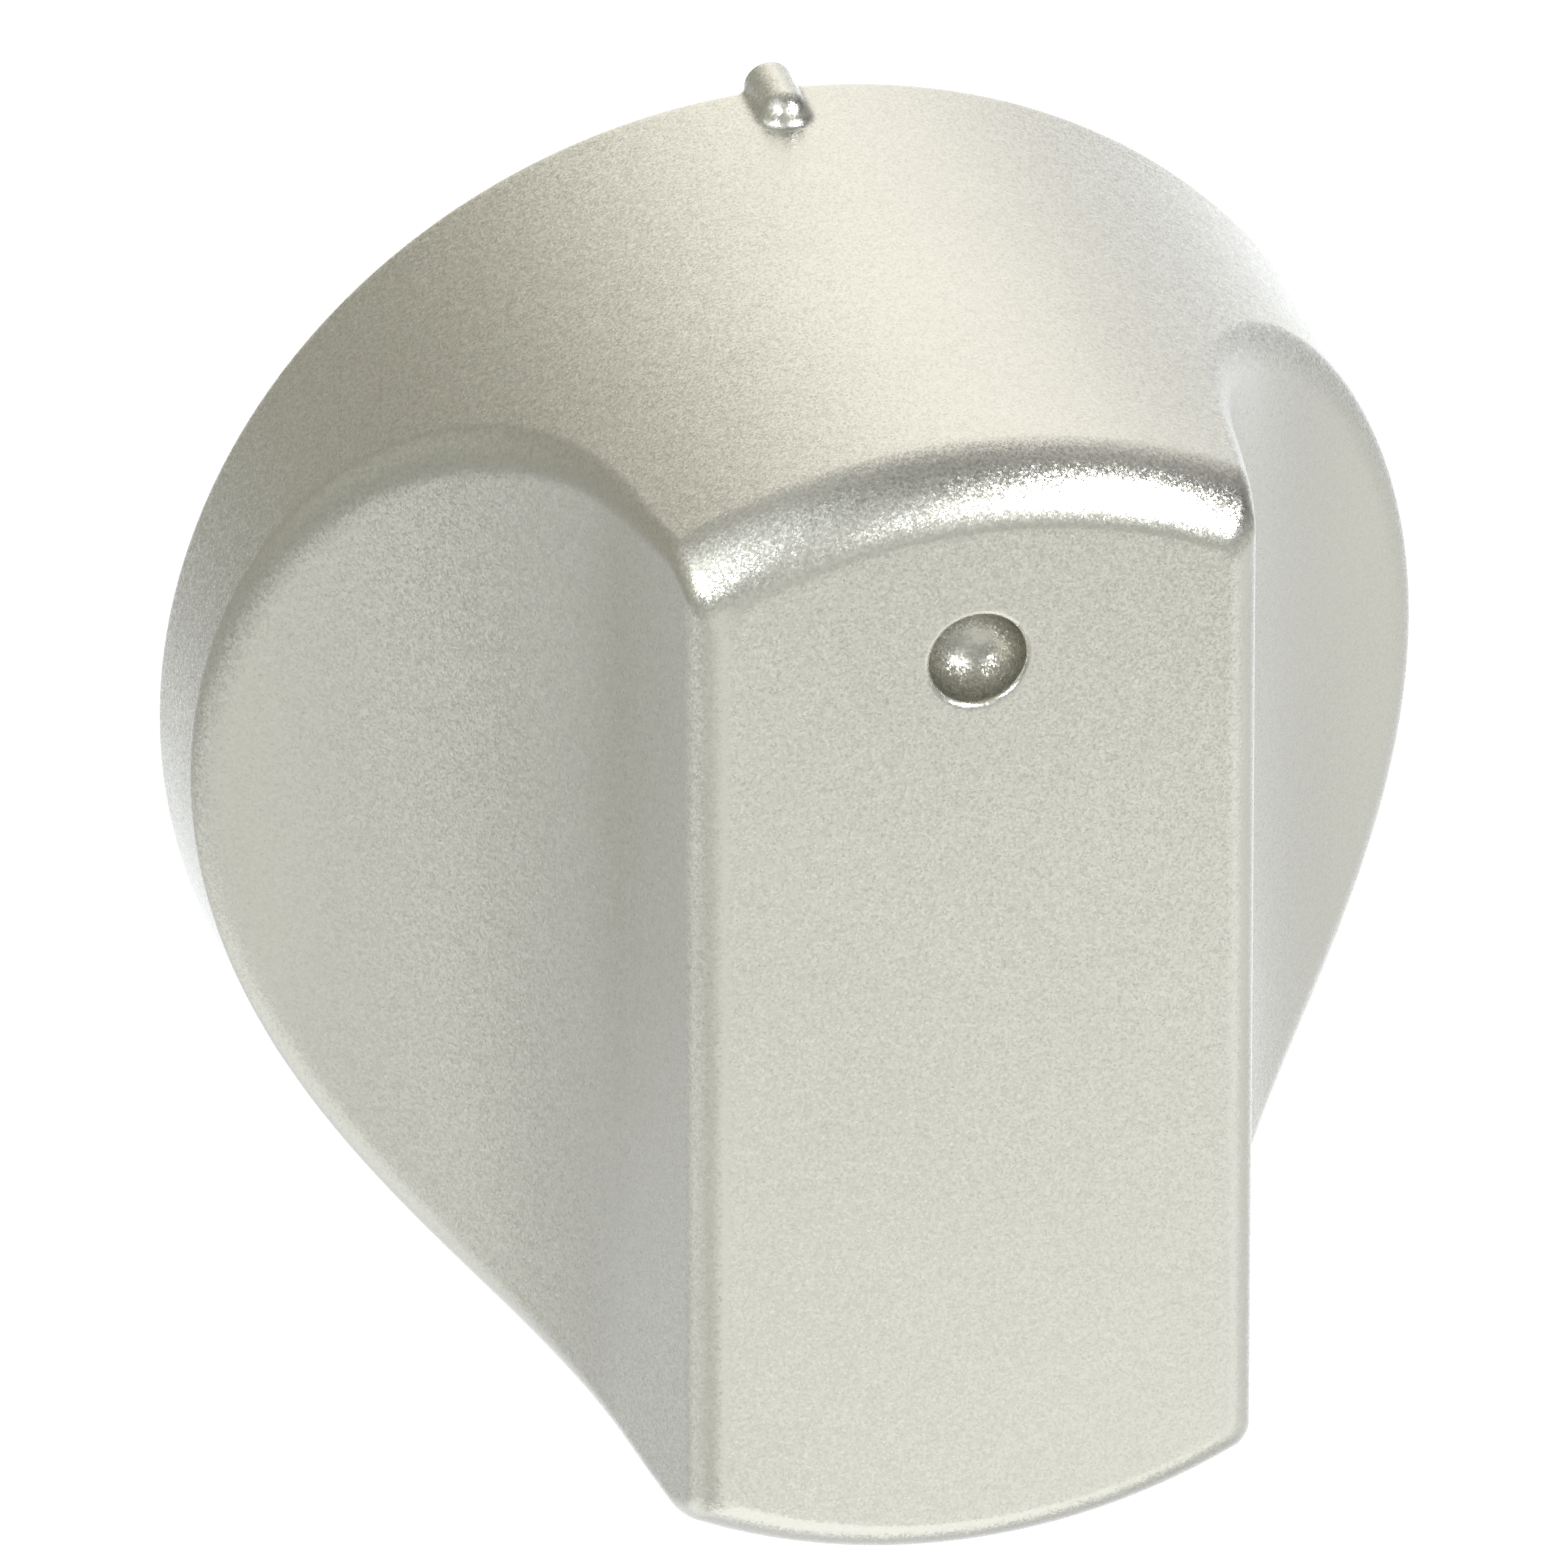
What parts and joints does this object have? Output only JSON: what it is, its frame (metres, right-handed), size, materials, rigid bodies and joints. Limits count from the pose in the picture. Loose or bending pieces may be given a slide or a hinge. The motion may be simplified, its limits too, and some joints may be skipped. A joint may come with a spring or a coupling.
{
  "type": "cooker control knob",
  "caption": "Round drafted knob with two concave side scoops leaving a flat-faced finger grip, a pointer rib and dimple, and a split D-bore hub inside.",
  "frame": {"origin": "on the knob's axis, in the plane of the rear rim", "axes": "+Y along the knob's axis, out of the rear towards the control panel, so the front face looks along -Y; +Z towards the pointer rib; +X to the right seen from the front"},
  "size_m": [0.045, 0.0286, 0.0459],
  "materials": {
    "shell_paint": "moulded plastic with satin champagne-silver metallic paint",
    "carrier_nylon": "black glass-filled nylon, as moulded",
    "spring_steel": "bright hardened strip",
    "ring_steel": "bright spring steel strip"
  },
  "bodies": {
    "knob": {"knob_shell": "shell_paint", "hub_carrier": "carrier_nylon", "hub_clamp_ring": "ring_steel"},
    "leaf_spring": {"spindle_leaf_spring": "spring_steel"}
  },
  "joints": [
    {"name": "spring_flex", "type": "hinge", "parent": "knob", "child": "leaf_spring", "pos_m": [0, -0.0145, 0.00355], "axis": [1, 0, 0], "range_deg": [0, 2.5], "stiffness_Nm_per_rad": 1.3}
  ]
}
